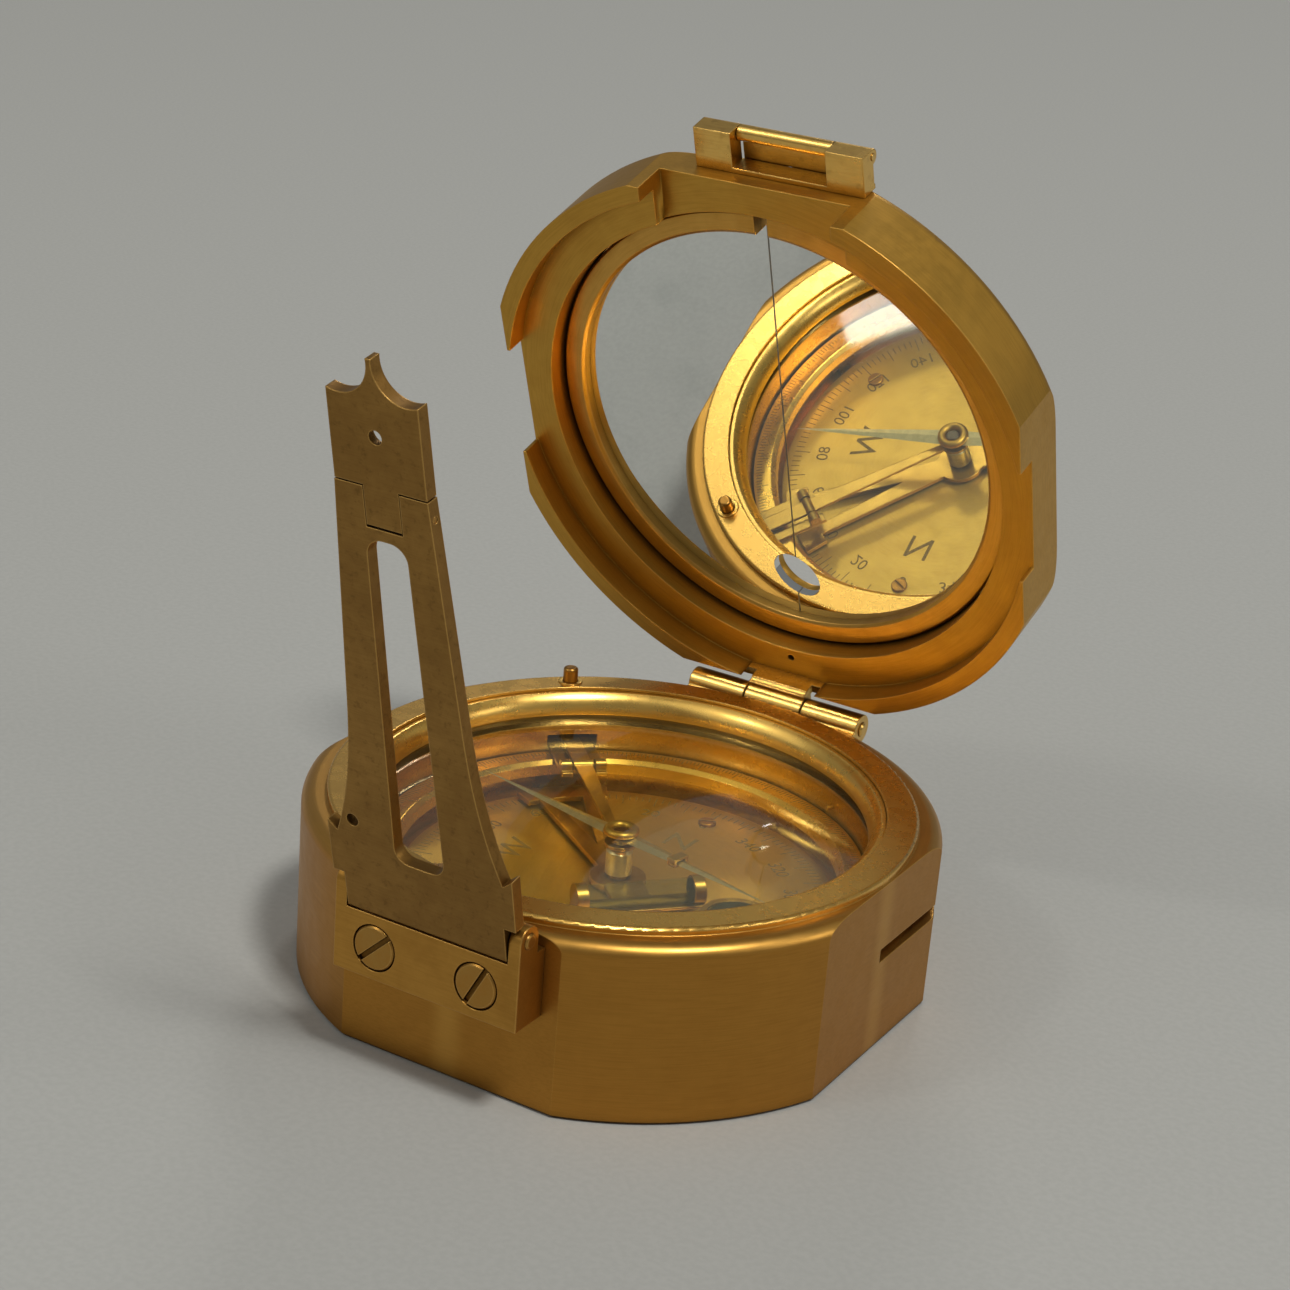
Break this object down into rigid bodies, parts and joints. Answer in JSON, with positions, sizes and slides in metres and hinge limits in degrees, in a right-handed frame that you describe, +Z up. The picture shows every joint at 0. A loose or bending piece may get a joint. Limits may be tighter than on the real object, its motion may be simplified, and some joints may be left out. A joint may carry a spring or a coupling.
{
  "type": "sighting compass",
  "caption": "Brass pocket sighting compass: flat-sided round case with glazed needle dial and clinometer, mirror lid on a hinge, and a long folding sight.",
  "frame": {"origin": "centre of the case's underside, on the surface that it stands on", "axes": "+Z up out of the dial, -Y towards the long sight, +Y towards the lid hinge, +X to the right when looking along +Y"},
  "size_m": [0.0696, 0.1001, 0.0972],
  "materials": {
    "brass_body": "fine brushed, lacquer browned with age",
    "brass_bright": "polished",
    "brass_sight": "satin with dull tarnish",
    "brass_screw": "turned, slots darkened",
    "brass_inner": "satin",
    "brass_dial": "pale silvered satin with engraved marks",
    "steel_needle": "bright",
    "jewel": "dark polished stone",
    "clear_glass": "clear",
    "level_glass": "clear with yellow-green spirit",
    "mirror": "silvered, one scribed centre line"
  },
  "bodies": {
    "case": {"case_body": "brass_body", "dial_plate": "brass_dial", "dial_standoffs": "brass_inner", "dial_screws": "brass_screw", "glass_crystal": "clear_glass", "glass_retaining_ring": "brass_bright", "bullseye_housing": "brass_inner", "bullseye_glass": "level_glass", "index_pin": "brass_inner", "spindle_bush": "brass_inner", "lift_bracket": "brass_inner", "lift_fulcrum_pin": "brass_bright", "lift_spring": "steel_needle", "lift_pin_bush": "brass_bright", "hinge_base_leaf": "brass_bright", "hinge_base_screws": "brass_screw", "lid_hinge_pin": "brass_bright", "sight_bracket": "brass_sight", "sight_bracket_screws": "brass_screw", "sight_pivot_pin": "brass_bright"},
    "azimuth": {"azimuth_ring": "brass_bright"},
    "adjuster": {"adjusting_pinion": "brass_inner", "adjusting_screw": "brass_screw"},
    "clinometer": {"clinometer_spindle": "brass_inner", "clinometer_arm": "brass_inner", "level_holder": "brass_inner", "level_vial": "level_glass", "needle_pivot": "steel_needle", "clinometer_lever": "brass_inner", "lever_screw": "brass_screw"},
    "needle": {"needle_blade": "steel_needle", "needle_cap": "brass_bright", "needle_jewel": "jewel", "needle_counterweight": "brass_inner"},
    "lift_button": {"lift_pin": "brass_bright"},
    "lift_arm": {"lift_lever": "brass_inner"},
    "lid": {"lid_shell": "brass_body", "mirror_glass": "mirror", "mirror_ring": "brass_bright", "hinge_lid_leaf": "brass_bright", "hinge_lid_screws": "brass_screw", "small_sight_bracket": "brass_bright", "small_sight_pin": "brass_bright"},
    "small_sight": {"small_sight_leaf": "brass_bright"},
    "long_sight": {"sight_arm": "brass_sight", "tip_hinge_pin": "brass_bright"},
    "long_sight_tip": {"sight_tip": "brass_sight"}
  },
  "joints": [
    {"name": "lid_hinge", "type": "hinge", "parent": "case", "child": "lid", "pos_m": [0, 0.0376, 0.02103], "axis": [-1, 0, 0], "range_deg": [-70.35, 90]},
    {"name": "long_sight_hinge", "type": "hinge", "parent": "case", "child": "long_sight", "pos_m": [0, -0.038, 0.022], "axis": [1, 0, 0], "range_deg": [-102.5, 77.5]},
    {"name": "tip_hinge", "type": "hinge", "parent": "long_sight", "child": "long_sight_tip", "pos_m": [0, -0.04989, 0.06976], "axis": [1, 0, 0], "range_deg": [0, 90]},
    {"name": "small_sight_hinge", "type": "hinge", "parent": "lid", "child": "small_sight", "pos_m": [0.0023, 0.0209, 0.09625], "axis": [1, 0, 0], "range_deg": [0, 180]},
    {"name": "needle_spin", "type": "hinge", "parent": "case", "child": "needle", "pos_m": [0, 0, 0.0168], "axis": [0, 0, 1], "continuous": true},
    {"name": "clinometer_swing", "type": "hinge", "parent": "case", "child": "clinometer", "pos_m": [0, 0, 0.0105], "axis": [0, 0, 1], "range_deg": [-90, 90]},
    {"name": "azimuth_turn", "type": "hinge", "parent": "case", "child": "azimuth", "pos_m": [0, 0, 0.0134], "axis": [0, 0, 1], "continuous": true},
    {"name": "adjuster_turn", "type": "hinge", "parent": "case", "child": "adjuster", "pos_m": [-0.02696, -0.01315, 0.0111], "axis": [-0.8988, -0.4384, 0], "continuous": true},
    {"name": "lift_press", "type": "slide", "parent": "case", "child": "lift_button", "axis": [0, 0, -1], "range_m": [0, 0.00038], "stiffness_N_per_m": 400, "springref_m": -0.0005, "deforming": ["lift_spring"]},
    {"name": "lift_arm_tip", "type": "hinge", "parent": "case", "child": "lift_arm", "pos_m": [-0.01542, 0.01597, 0.01535], "axis": [-0.7193, -0.6947, 0], "range_deg": [-0.2, 2.4]}
  ],
  "couplings": [
    {"joint": "adjuster_turn", "follows": "azimuth_turn", "ratio": -15.429},
    {"joint": "lift_arm_tip", "follows": "lift_press", "rad_per_m": 95.238}
  ]
}
